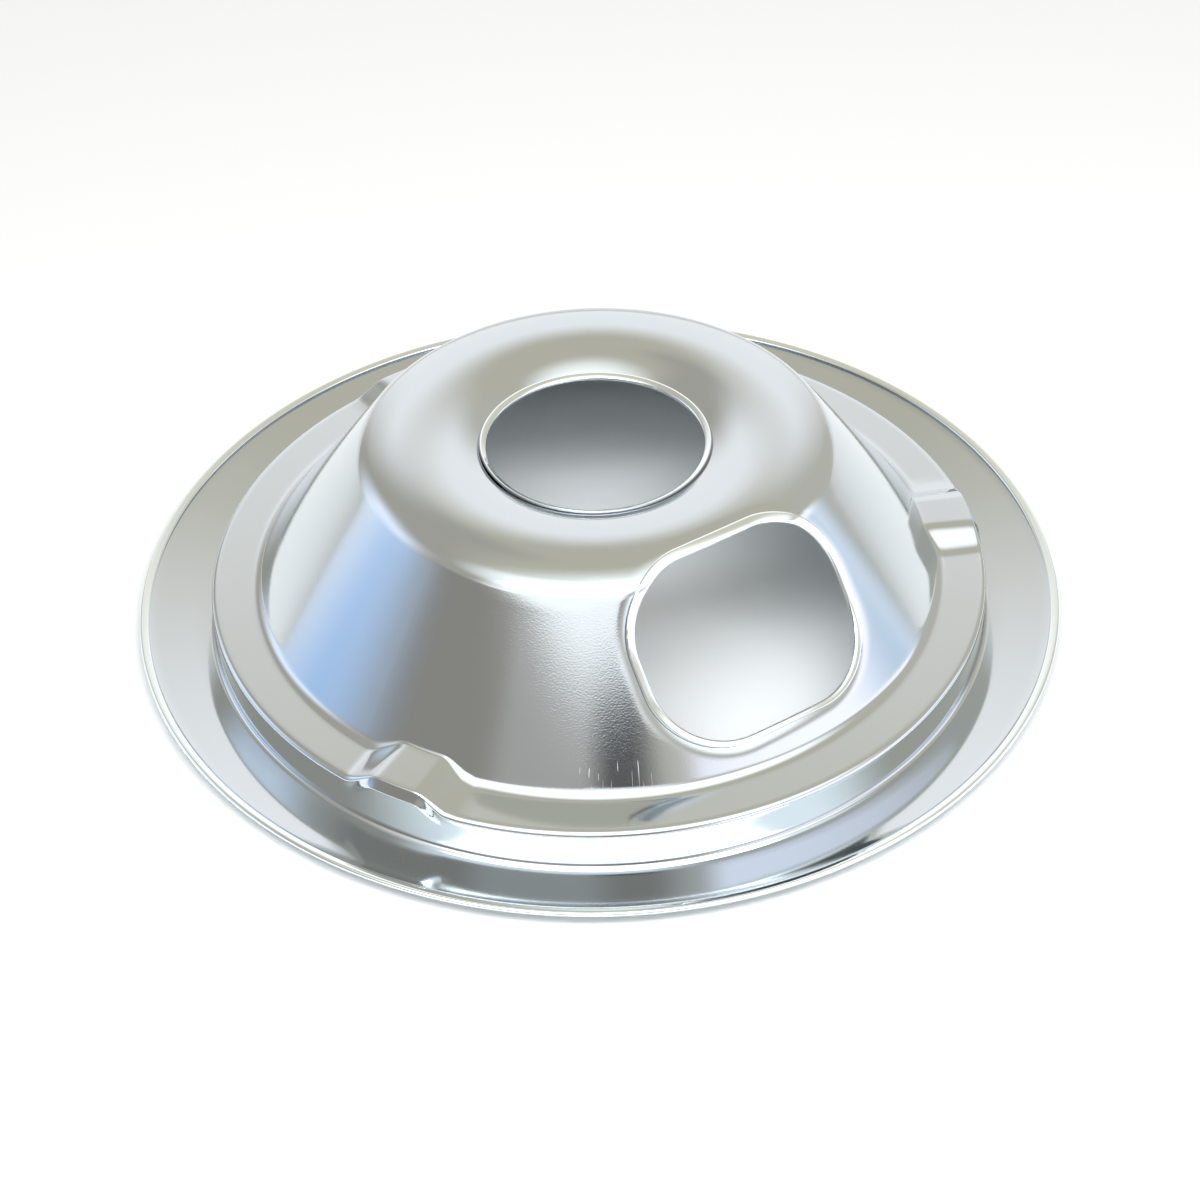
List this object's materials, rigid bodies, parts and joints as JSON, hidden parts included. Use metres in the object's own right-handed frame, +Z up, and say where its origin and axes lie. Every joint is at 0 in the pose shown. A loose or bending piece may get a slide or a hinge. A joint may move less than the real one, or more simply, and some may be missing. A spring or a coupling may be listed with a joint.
{
  "type": "stove drip pan",
  "caption": "Round pressed drip pan with a folded rim, a stepped ledge with notches, and a bowl with a centre hole and a side opening, that catches spills under a coil element.",
  "frame": {"origin": "middle of the flange's lowest ring, on the surface that the pan lies on with its bowl upward", "axes": "+Z up along the bowl's axis, out of the top of the upturned bowl; the side opening faces -Y"},
  "size_m": [0.197, 0.197, 0.0444],
  "materials": {
    "chrome_plate": "bright chrome plate with fine draw marks"
  },
  "bodies": {
    "root": {"drip_pan": "chrome_plate"}
  },
  "joints": []
}
